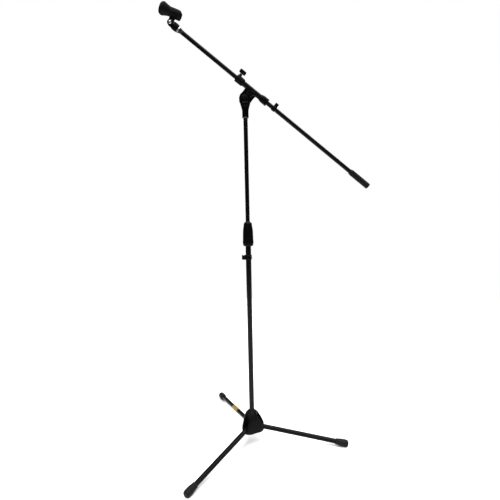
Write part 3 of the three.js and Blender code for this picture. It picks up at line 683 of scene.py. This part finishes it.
# ------------------------------------------------------------------ snap-on cable holders
def holder_field(tube_r, band_r, hook_x, channel_r, tip_x, half, half_w):
    """Band round a tube on Z, hook to -X, both mouths to +Y."""
    def f(x, y, z):
        r = np.hypot(x, y)
        band = smax(r - band_r + 0.9 * step01((np.abs(z) - half + 3.4) / 3.4), np.abs(z) - half, 1.6)
        h = half - 0.8
        q = rbox(x, y, z, ((tip_x - 4) / 2, 0, 0), (abs(tip_x + 4) / 2 + 0.001, half_w, h), 2.0)
        g = smin(band, q, 1.5)
        g = smax(g, -(r - tube_r - 0.3), 0.5)
        g = smax(g, -(np.hypot(x - hook_x, y) - channel_r), 0.6)
        g = smax(g, -rbox(x, y, z, (hook_x, 15, 0), (0.75 * channel_r, 15, 40)), 0.9)
        g = smax(g, -rbox(x, y, z, (0, 15, 0), (0.66 * tube_r, 15, 40)), 0.9)
        # thumb ridges on the hook's tip
        ridges = 0.35 * bump((x - tip_x) / 2.0) * np.cos(2 * math.pi * z / 2.6) * (np.abs(z) < half - 2)
        return g - ridges * (np.abs(y) < half_w - 1)
    return f


solid("mast_cable_holder", holder_field(10.0, 12.6, -17.6, 3.7, -24.2, 9.3, 6.2), (-27, -14, -11), (15, 14, 11), 0.42,
      STAND @ T((0, 0, 760.7)), "mast_clip", M_PLASTIC, ["mast_cable_clip"])
# holder's -X to +z', its +Y (mouths) stays +Y, its Z along the boom
HOOK_UP = Matrix(((0, 0, 1, 0), (0, 1, 0, 0), (-1, 0, 0, 0), (0, 0, 0, 1)))
solid("boom_cable_holder", holder_field(7.5, 9.9, -14.4, 3.9, -20.3, 7.3, 5.7), (-23, -12, -10), (12, 12, 10), 0.4,
      BOOM @ T((97.4, 0, 0)) @ HOOK_UP, "boom_clip", M_PLASTIC, ["boom_cable_clip"])

# ------------------------------------------------------------------ upper mast tube and its fittings
turned("upper_tube_skin", ring(6.4, 7.5, 560, 1253), STAND, "mast", M_MAST, ["upper_tube"], segments=72,
       radius=0.3, step=25)
turned("upper_tube_guide_bush", [(0, 553), (7.6, 553), (8.45, 554.5), (8.45, 559.7), (6.1, 559.7), (6.1, 585), (0, 585)], STAND,
       "mast", M_NYLON, ["upper_tube_guide"], segments=48)


def thread(pitch, depth, z0, z1, rmin, rmax=1e3):
    def shape(rr, zz, aa):
        ph = 2 * math.pi * zz / pitch - aa
        win = step01((zz - z0) / pitch) * step01((z1 - zz) / pitch)
        return np.where((rr > rmin) & (rr < rmax), rr - depth * win * (0.5 + 0.5 * np.cos(ph)), rr), zz
    return shape


turned("mast_threaded_stud", [(0, 1222), (6.1, 1222), (6.1, 1253.3), (7.9, 1253.3), (7.9, 1284), (0, 1284)], STAND, "mast",
       M_STEEL, ["mast_stud"], segments=56, radius=0.3, step=0.3, corners=2,
       shape=thread(1.27, 0.7, 1256, 1283, 7.0))
turned("head_grey_washer", ring(8.25, 11.7, 1258.5, 1260.8), STAND, "mast", M_GREY, ["head_lock_ring"],
       segments=84, radius=0.7, corners=4)

# ------------------------------------------------------------------ tilt head: socket on the mast
neck_side = [(10.6, 1261.3), (11.3, 1262.6), (11.3, 1270), (11.3, 1281), (11.9, 1285), (12.8, 1289.3), (14.0, 1293.5), (15.3, 1297.8),
             (16.6, 1302), (17.7, 1308)]
neck_line = [(-10, 1261.3)] + [tuple(q) for q in spline(neck_side, 3)] + [(17.9, 1312), (-10, 1312)]
disc_line = [(-10, -15.2)] + [tuple(q) for q in spline([(0, -15.2), (7.5, -14.9), (12.4, -13.9), (15.4, -12.2), (17.0, -10.2), (17.4, -8.4)], 3)] \
    + [(17.4, -2.4), (-10, -2.4)]


def socket_field(x, y, z):
    r = np.hypot(x, y)
    ang = np.arctan2(y, x)
    neck = poly2(r, z, neck_line)
    ribs = 0.8 * (0.5 + 0.5 * np.cos(18 * ang)) ** 1.5 * step01((z - 1263.5) / 2.5) * step01((1304 - z) / 9)
    neck = neck + ribs
    zz = z - PIVOT_Z
    rd = np.hypot(x, zz)
    disc = poly2(rd, y, disc_line)
    # a shallow dished face inside a raised rim, and detent teeth round the upper rim
    disc = disc + 0.55 * step01((13.6 - rd) / 2.2) * step01((-y - 8) / 2)
    da = np.arctan2(x, zz)
    teeth = (0.5 + 0.5 * np.cos(26 * da)) * step01((rad(80) - np.abs(da)) / 0.12)
    disc = disc + 1.5 * teeth * bump((rd - 17.6) / 2.6) * step01((-y - 6) / 3)
    neck = smax(neck, -(np.maximum(rd - 21.8, -2.4 - y)), 0.8)
    neck = smax(neck, np.where(y > -2.4, z - 1293.8, z - 1312.0) * 0.95, 0.8)
    neck_near = smax(neck, z - 1309.0, 0.8)
    f = smin(neck_near, disc, 5.0)
    f = smax(f, -(np.maximum(rd - 21.8, -2.4 - y)), 0.5)
    f = np.maximum(f, -np.maximum(r - 8.2, z - 1284.5))
    f = np.maximum(f, -np.maximum(rd - 4.3, -6 - y))
    f = np.maximum(f, -np.maximum(hexagon(zz, x, 7.2), -10 - y))
    return f


solid("tilt_socket", socket_field, (-21, -18, 1259), (21, 21, 1340), 0.5, STAND, "mast", M_PLASTIC, ["head_socket"])
PIVOT = STAND @ T((0, 0, PIVOT_Z)) @ ALONG_Y
turned("tilt_friction_washer", ring(4.4, 15.5, -2.1, -0.3), PIVOT, "mast", M_NYLON, ["tilt_washer"], segments=64, radius=0.3)


def bolt_field(x, y, z):
    r = np.hypot(x, z)
    head_ = smax(np.maximum(hexagon(z, x, 6.58), -9.6 - y), y + 4.6, 0.3)
    head_ = smax(head_, r + (-y) * 0.55 - 11.9, 0.3)
    pitch = 0.35 * (0.5 + 0.5 * np.cos(2 * math.pi * y / 1.25 - np.arctan2(x, z))) * step01((y - 12) / 2)
    shank = smax(r - 4.0 + pitch, np.maximum(-5 - y, y - 27.5), 0.6)
    return np.minimum(head_, shank) * 0.9


solid("tilt_pivot_bolt", bolt_field, (-9, -11, -9), (9, 29, 9), 0.34, STAND @ T((0, 0, PIVOT_Z)), "mast", M_ZINC, ["pivot_bolt"])

# ------------------------------------------------------------------ tilt head: bracket under the boom
far_line = arc(0, 0, 20.9, 35, 215, 370) + [tuple(q) for q in spline([(20.3, 10), (19.9, 16), (20.0, 21), (20.7, 26), (22.2, 31.3)], 3)] \
    + [(20.5, 40.0), (-20.5, 40.0)] + [tuple(q) for q in spline([(-24.2, 31.9), (-23.6, 26), (-23.3, 20), (-23.5, 15), (-24.2, 10.5),
                                       (-24.8, 6), (-24.5, 2.2), (-23.4, -1.6), (-21.8, -5.8), (-19.6, -9.2)], 2)]
fan_line = arc(0, 0, 18.3, 13, 58, 122) + [(-17, 27.2), (-20.5, 31.9), (-20, 40), (20, 40), (20.5, 31.9), (17, 27.2)]


def bracket_field(x, y, z):
    far = smax(poly2(x, z, far_line), np.abs(y - 7.3) - 7.3, 2.4)
    # the far face is dished inside a raised rim, with a boss for the knob
    rd = np.hypot(x, z)
    far = smax(far, -np.maximum(np.maximum(rd - 17.2, 11.0 - rd), 12.9 - y), 1.2)
    fan = smax(poly2(x, z, fan_line), np.abs(y + 7.0) - 7.2, 2.0)
    # a sunk fan-shaped panel with a raised arc over the disc
    inset = step01((-(poly2(x, z, fan_line)) - 1.6) / 1.2)
    fan = fan + 0.75 * inset * step01((-y - 11) / 1.5) * (z < 31)
    f = smin(far, fan, 1.2)
    saddle = np.minimum(np.hypot(y, z - (BOOM_OFFSET - 9)) - 23.5, z - (BOOM_OFFSET - 12))
    f = smax(f, saddle, 3.0)
    f = smax(f, z - (BOOM_OFFSET - 3), 1.0)
    f = smax(f, -(np.hypot(y, z - BOOM_OFFSET) - 10.05), 0.6)
    f = smax(f, -(rd - 4.3), 0.4)
    # clear of the socket's disc
    f = smax(f, -np.maximum(rd - 18.0, y - 0.0), 0.5)
    # clear of the socket's shoulder at the end of the tilt
    f = smax(f, -np.maximum(np.maximum(rd - 19.4, y - 0.0), x + 8.6), 0.3)
    return f


solid("tilt_bracket", bracket_field, (-27, -17, -23), (27, 17, 41), 0.5, HEAD, "head", M_PLASTIC, ["head_bracket"])

# ------------------------------------------------------------------ boom sleeve, collars and T-bar
turned("boom_sleeve_skin", ring(8.9, 9.75, -66, 60), BOOM @ ALONG_X, "head", M_BOOM, ["boom_sleeve"], segments=80,
       radius=0.35, step=8)
TB = -61.6
collar_line = [(-3, -68.3), (12.0, -68.3), (12.9, -67.3), (13.2, -65.6), (13.2, -45), (12.8, -41), (11.0, -37.6), (10.6, -37), (-3, -37)]
boss_line = [(-3, 0), (6.4, 0), (6.4, 12.4), (5.5, 14), (5.0, 15.6), (5.0, 18.4), (4.6, 19), (-3, 19)]


def collar_field(x, y, z):
    r = np.hypot(y, z)
    ringf = poly2(r, x, collar_line)
    # band of fine ribs on the sides, a plain belt at each end
    a_ = np.arctan2(y, z)
    ribs = 0.4 * (0.5 + 0.5 * np.cos(30 * a_)) * step01((9.5 - np.abs(x + 55.0)) / 2.0) * step01((np.abs(a_) - 0.55) / 0.2)
    belt = 0.5 * bump((x + 43.8) / 0.9)
    ringf = ringf + ribs + belt
    boss = poly2(np.hypot(x - TB, y), z, boss_line)
    f = smin(ringf, boss, 2.0)
    f = np.maximum(f, -np.maximum(r - 10.05, -66.3 - x))
    f = smax(f, -(r - 8.0), 0.4)
    f = np.maximum(f, -np.maximum(np.hypot(x - TB, y) - 3.8, -z))
    return f


solid("front_clamp_collar", collar_field, (-70, -15, -15), (-35, 15, 21), 0.45, BOOM, "head", M_PLASTIC, ["front_collar"])
TBAR = BOOM @ T((TB, 0, 0))
turned("t_bar_flanged_nut", [(2.8, 10.6), (3.5, 10.6), (3.5, 19.3), (4.4, 19.3), (4.4, 20.2), (2.8, 20.2)], TBAR, "head", M_ZINC,
       ["t_bar_nut"], segments=48, radius=0.2)
turned("t_bar_threaded_screw", rod(2.5, 9.0, 28.6), TBAR, "t_bar", M_STEEL, ["t_bar_screw"], segments=40,
       radius=0.5, step=0.22, corners=2, shape=thread(1.0, 0.35, 10, 22, 1.8))


def tbar_field(x, y, z):
    z = z - 27.3
    thick = 5.0 - 1.1 * step01((9.0 - np.abs(x)) / 7.0) * step01((5.2 - np.abs(z)) / 3.5)
    outline = np.hypot(np.maximum(np.abs(x) - 8.4, 0), np.maximum(np.abs(z) - 3.1, 0)) - 3.6
    f = smax(outline, np.abs(y) - thick, 2.6)
    f = np.maximum(f, -np.maximum(np.hypot(x, y) - 2.8, z - 1.6))
    return f * 0.95


solid("t_bar_paddle", tbar_field, (-14, -7, 19), (14, 7, 35.5), 0.36, TBAR, "t_bar", M_PLASTIC, ["t_bar_handle"])

rear_out = spline([(10.7, 36.5), (11.4, 38.5), (12.4, 42), (13.3, 47), (13.5, 52), (13.5, 58), (13.5, 62.5)], 8)


def rear_shape(rr, zz, aa):
    groove = np.zeros_like(zz)
    for c in (42.6, 47.4, 52.2, 57.0, 61.6):
        groove = np.maximum(groove, bump((zz - c) / 1.35))
    outer = rr > 10.5
    notch = 0.5 + 0.5 * np.cos(36 * aa)
    lip = step01((zz - 63.2) / 0.6) * step01((66.6 - zz) / 0.6)
    return np.where(outer, rr - 1.3 * groove - 0.32 * notch * lip, rr), zz


turned("rear_ringed_collar", [(10.1, 36.5)] + [tuple(q) for q in rear_out] + [(13.5, 65.2), (13.2, 66.6), (12.4, 67.4), (9.0, 67.4), (9.0, 60.4),
       (10.1, 60.4)], BOOM @ ALONG_X, "collar", M_PLASTIC, ["rear_collar"], segments=180, radius=0.4, step=0.4,
       corners=2, shape=rear_shape)
turned("boom_inner_liner", ring(7.8, 8.6, -65.6, 66.6), BOOM @ ALONG_X, "liner", M_NYLON, ["boom_liner"], segments=72, radius=0.25)


# ------------------------------------------------------------------ tilt knob on the far side
def knob_field(x, y, z):
    r = np.hypot(x, z)
    ang = np.arctan2(z, x)
    line = [(-6, 15.3), (13.2, 15.3)] + [tuple(q) for q in spline([(15.0, 16.2), (15.6, 19.0), (15.6, 24), (14.8, 27.6), (12.2, 30.0), (8.0, 30.9), (0, 31.0)], 3)] + [(-6, 31.0)]
    lobe = 1.1 * np.cos(8 * ang) * step01((r - 9) / 4)
    f = poly2(r - lobe, y, line)
    f = smax(f, -(np.hypot(r - 8.2, y - 31.6) - 1.5), 0.8)               # a ring sunk in the cap
    f = np.maximum(f, -np.maximum(hexagon(z, x, 7.6 * 0.87), y - 23.4))
    f = np.maximum(f, -np.maximum(r - 4.4, y - 28.0))
    return f * 0.95


solid("tilt_hand_knob", knob_field, (-19, 13, -19), (19, 33, 19), 0.42, STAND @ T((0, 0, PIVOT_Z)), "knob", M_PLASTIC, ["tilt_knob"])


def knob_nut(x, y, z):
    f = smax(hexagon(z, x, 7.1 * 0.866), np.abs(y - 19.3) - 3.7, 0.4)
    return np.maximum(f, -(np.hypot(x, z) - 4.3))


solid("tilt_knob_brass_nut", knob_nut, (-9, 14, -9), (9, 24.5, 9), 0.4, STAND @ T((0, 0, PIVOT_Z)), "knob", M_BRASS, ["tilt_knob_nut"])

# ------------------------------------------------------------------ boom
turned("boom_tube_skin", ring(6.4, 7.5, -297.4, 528.8), BOOM @ ALONG_X, "boom", M_BOOM, ["boom_tube"], segments=72,
       radius=0.3, step=25)
turned("boom_threaded_tip", [(0, NUT - 18), (7.3, NUT - 18), (7.9, NUT - 17), (7.9, NUT + 2.5), (9.0, NUT + 2.5), (9.0, NUT + 5),
       (8.5, NUT + 8.5), (7.9, NUT + 8.5), (7.9, -297.7), (6.1, -297.7), (6.1, -267.4), (0, -267.4)],
       BOOM @ ALONG_X, "boom", M_STEEL, ["boom_tip"], segments=56, radius=0.2, step=0.36, corners=2,
       shape=thread(3.0, 1.0, NUT - 17.6, -298.2, 7.2, 8.2))


def nut_shape(rr, zz, aa):
    edge = step01((1.8 - np.abs(zz - NUT)) / 0.5)
    return np.where(rr > 10.5, rr - 0.28 * (0.5 + 0.5 * np.cos(40 * aa)) * edge, rr), zz


turned("boom_lock_nut", ring(8.25, 11.1, NUT - 2.2, NUT + 2.2), BOOM @ ALONG_X, "nut", M_ZINC, ["lock_nut"], segments=240,
       radius=0.5, step=0.35, corners=3, shape=nut_shape)


def knurl(rr, zz, aa):
    span = step01((zz - 460.5) / 1.2) * step01((527.4 - zz) / 1.2)
    p = 2 * math.pi * zz / 3.1
    q = 22 * aa
    dia = np.abs(np.sin((p + q) / 2)) * np.abs(np.sin((p - q) / 2))
    rings = np.maximum(bump((zz - 458.0) / 1.0), bump((zz - 529.2) / 0.8))
    return np.where(rr > 10.0, rr - span * 0.62 * (1 - dia) - 0.7 * rings, rr), zz


turned("boom_knurled_grip", [(7.8, 446.3), (8.6, 446.3), (9.9, 449.8), (10.7, 455.0), (10.9, 461.0), (10.9, 531.0), (10.2, 532.6), (8.8, 533.4), (0, 533.4),
       (0, 529.2), (7.8, 529.2)], BOOM @ ALONG_X, "boom", M_GRIP, ["boom_grip"], segments=176, radius=0.7, step=0.45,
       corners=3, shape=knurl)

# ------------------------------------------------------------------ microphone clip
TIPX = NUT - CLIP_PIVOT
body_line = [(-6, 8.6)] + [tuple(q) for q in spline([(10.5, 8.6), (11.2, 10.6), (12.8, 13.8), (13.3, 17), (13.3, 24), (12.9, 26.5), (12.1, TIPX - 3.2),
             (11.5, TIPX - 2.5)], 3)] + [(-6, TIPX - 2.5)]
ear_line = arc(0, 0, 10.3, 31, 78, 282) + [(9, -10.7), (17, -11.2), (17, 11.2), (9, 10.7)]


def clip_socket_field(x, y, z):
    r = np.hypot(y, z)
    ang = np.arctan2(y, z)
    body_ = poly2(r, x, body_line)
    flutes = 0.45 * (0.5 + 0.5 * np.cos(18 * ang)) * step01((x - 15.5) / 3) * step01((27.4 - x) / 2)
    body_ = body_ + flutes
    ears = smax(poly2(x, z, ear_line), np.abs(y) - 10.4, 2.0)
    ears = smax(ears, r - 13.4, 1.5)
    f = smin(body_, ears, 2.5)
    # shallow round seat for the screw head
    f = smax(f, -np.maximum(np.hypot(x, z) - 6.7, y + 10.0), 0.4)
    f = smax(f, -rbox(x, y, z, (-4.2, 0, 0), (15.8, 5.4, 22)), 0.8)
    f = np.maximum(f, -(np.hypot(x, z) - 2.7))
    f = smax(f, -np.maximum(r - 9.5, TIPX - 18.6 - x), 0.4)
    f = np.maximum(f, -np.maximum(hexagon(z, x, 5.9 * 0.9), 7.6 - y))
    return f


solid("clip_swivel_socket", clip_socket_field, (-13, -15, -15), (31, 15, 15), 0.42, MOUNT, "mount", M_PLASTIC, ["clip_socket"])
turned("clip_brass_insert", ring(8.2, 9.2, TIPX - 18.2, TIPX - 2.7), MOUNT @ ALONG_X, "mount", M_BRASS, ["clip_insert"], segments=56,
       radius=0.3)


def clip_screw_field(x, y, z):
    r = np.hypot(x, z)
    f = poly2(r, y, [(-4, -14.2), (0, -14.2), (2.0, -14.1), (3.6, -13.8), (4.9, -13.1), (5.7, -12.3), (6.1, -11.3), (6.1, -10.8), (2.4, -10.8), (2.4, 12.4), (-4, 12.4)])
    ca, sa = math.cos(rad(35)), math.sin(rad(35))
    u, w = x * ca + z * sa, -x * sa + z * ca
    cross = np.minimum(np.maximum(np.abs(u) - 0.55, np.abs(w) - 2.6), np.maximum(np.abs(w) - 0.55, np.abs(u) - 2.6))
    return smax(f, -np.maximum(cross, y + 12.6), 0.3)


solid("clip_tilt_screw", clip_screw_field, (-8, -16, -8), (8, 14, 8), 0.3, MOUNT, "mount", M_ZINC, ["clip_screw"])


def clip_nut_field(x, y, z):
    f = smax(hexagon(z, x, 5.5 * 0.866), np.abs(y - 9.8) - 1.8, 0.3)
    return np.maximum(f, -(np.hypot(x, z) - 3.0))


solid("clip_hex_nut", clip_nut_field, (-7, 7, -7), (7, 12.6, 7), 0.32, MOUNT, "mount", M_ZINC, ["clip_nut"])

CF, CR, RISE = -49.6, 25.1, 32.5
clip_out = [tuple(q) for q in spline([(14.5, CF), (17.2, -48.6), (19.6, -46), (21.2, -42.8), (22.1, -39.6), (22.1, -37.8), (20.7, -33), (18.3, -26),
                                      (16.5, -19), (15.5, -13), (15.9, -7), (16.2, 0), (16.2, 21.5), (15.4, 24.4), (14.2, CR)], 3)]
clip_outer_line = [(-8, CF)] + clip_out + [(-8, CR)]
clip_inner_line = [(-8, CF - 5), (15.2, CF - 5)] + [tuple(q) for q in spline([(15.6, -48), (17.6, -41.5), (18.4, -37), (17.0, -31), (14.9, -24), (13.3, -17),
                   (12.8, -12), (13.2, 0)], 3)] + [(13.4, CR + 5), (-8, CR + 5)]
lug_line = arc(0, 0, 8.2, 25, 180, 360) + [(8.6, 13), (9.2, RISE - 10), (-9.9, RISE - 10), (-9.2, 13)]


def clip_field(x, y, z):
    w = z - RISE
    r = np.hypot(y, w)
    ang = np.arctan2(y, w)
    outer = poly2(r, x, clip_outer_line)
    # shallow ribs over the wide mouth and the tail
    belt = np.zeros_like(x)
    for c in (CF + 7.0, CF + 11.5, CF + 16.0, CR - 4.5, CR - 9.0):
        belt = np.maximum(belt, bump((x - c) / 1.3))
    side = step01((np.abs(ang) - rad(40)) / 0.15) * step01((rad(150) - np.abs(ang)) / 0.15)
    outer = outer + 0.5 * belt * side
    lug = smax(poly2(x, z, lug_line), np.abs(y) - 4.9, 1.4)
    f = smin(outer, lug, 3.0)
    f = smax(f, -poly2(r, x, clip_inner_line), 0.9)
    f = smax(f, -np.maximum(np.abs(y) - 6.5, 5 - w), 1.2)
    f = smax(f, -poly2(x, z, [(15, RISE + 17.7), (34, RISE + 3.9), (34, RISE + 40), (15, RISE + 40)]), 1.2)
    f = np.maximum(f, -(np.hypot(x, z) - 2.7))
    return f


solid("microphone_clip", clip_field, (-55, -24, -11), (30, 24, 57), 0.5, CLIP, "clip", M_CLIP, ["clip_body"], reach=1.1)

# ------------------------------------------------------------------ floor, light and camera
floor_mesh = bpy.data.meshes.new("floor")
S = 1.9
floor_mesh.from_pydata([(-S, -S, -0.0004), (S, -S, -0.0004), (S, S, -0.0004), (-S, S, -0.0004)], [], [(0, 1, 2, 3)])
floor = bpy.data.objects.new("floor", floor_mesh)
bpy.context.scene.collection.objects.link(floor)
fm = bpy.data.materials.new("pale_floor")
fm.use_nodes = True
fb = fm.node_tree.nodes["Principled BSDF"]
fb.inputs["Base Color"].default_value = (0.93, 0.93, 0.93, 1)
fb.inputs["Roughness"].default_value = 0.9
fb.inputs["Specular IOR Level"].default_value = 0.0
floor_mesh.materials.append(fm)

scene = bpy.context.scene
scene.view_settings.view_transform = "Standard"
world = bpy.data.worlds.new("studio")
scene.world = world
world.use_nodes = True
wn, wl = world.node_tree.nodes, world.node_tree.links
wn.clear()
wout = wn.new("ShaderNodeOutputWorld")
seen = wn.new("ShaderNodeBackground")
seen.inputs[0].default_value = (1, 1, 1, 1)
seen.inputs[1].default_value = 1.0
lit = wn.new("ShaderNodeBackground")
lit.inputs[0].default_value = (1, 1, 1, 1)
lit.inputs[1].default_value = 0.10
path = wn.new("ShaderNodeLightPath")
mixer = wn.new("ShaderNodeMixShader")
wl.new(path.outputs["Is Camera Ray"], mixer.inputs[0])
wl.new(lit.outputs[0], mixer.inputs[1])
wl.new(seen.outputs[0], mixer.inputs[2])
wl.new(mixer.outputs[0], wout.inputs[0])


def sun(name, azimuth, elevation, strength, angle):
    d = bpy.data.lights.new(name, "SUN")
    d.energy = strength
    d.angle = rad(angle)
    o = bpy.data.objects.new(name, d)
    bpy.context.scene.collection.objects.link(o)
    a_, e_ = rad(azimuth), rad(elevation)
    toward = Vector((math.sin(a_) * math.cos(e_), -math.cos(a_) * math.cos(e_), math.sin(e_)))
    o.rotation_mode = "QUATERNION"
    o.rotation_quaternion = toward.to_track_quat("Z", "Y")
    return o


sun("key", -30, 64, 1.9, 22)
sun("fill", 32, 70, 1.6, 40)
sun("right", 104, 54, 1.5, 34)
sun("left", -95, 72, 1.2, 50)
sun("front", 0, 40, 0.7, 60)
sun("back", 152, 40, 1.8, 34)

cam_data = bpy.data.cameras.new("camera")
cam_data.sensor_width = 36.0
cam_data.lens = 433.044 / 500 * 36.0
cam_data.clip_end = 200.0
cam = bpy.data.objects.new("camera", cam_data)
scene.collection.objects.link(cam)
F_ = Vector((0.00381782, 0.98192046, -0.18925548))
R_ = Vector((0.99975329, -0.00887031, -0.02036353))
U_ = R_.cross(F_).normalized()
R_ = F_.cross(U_).normalized()
cam.matrix_world = Matrix((
    (R_.x, U_.x, -F_.x, AX / 1000 + 0.0),
    (R_.y, U_.y, -F_.y, AY / 1000 - 1.57625),
    (R_.z, U_.z, -F_.z, 1.09164),
    (0, 0, 0, 1)))
scene.camera = cam
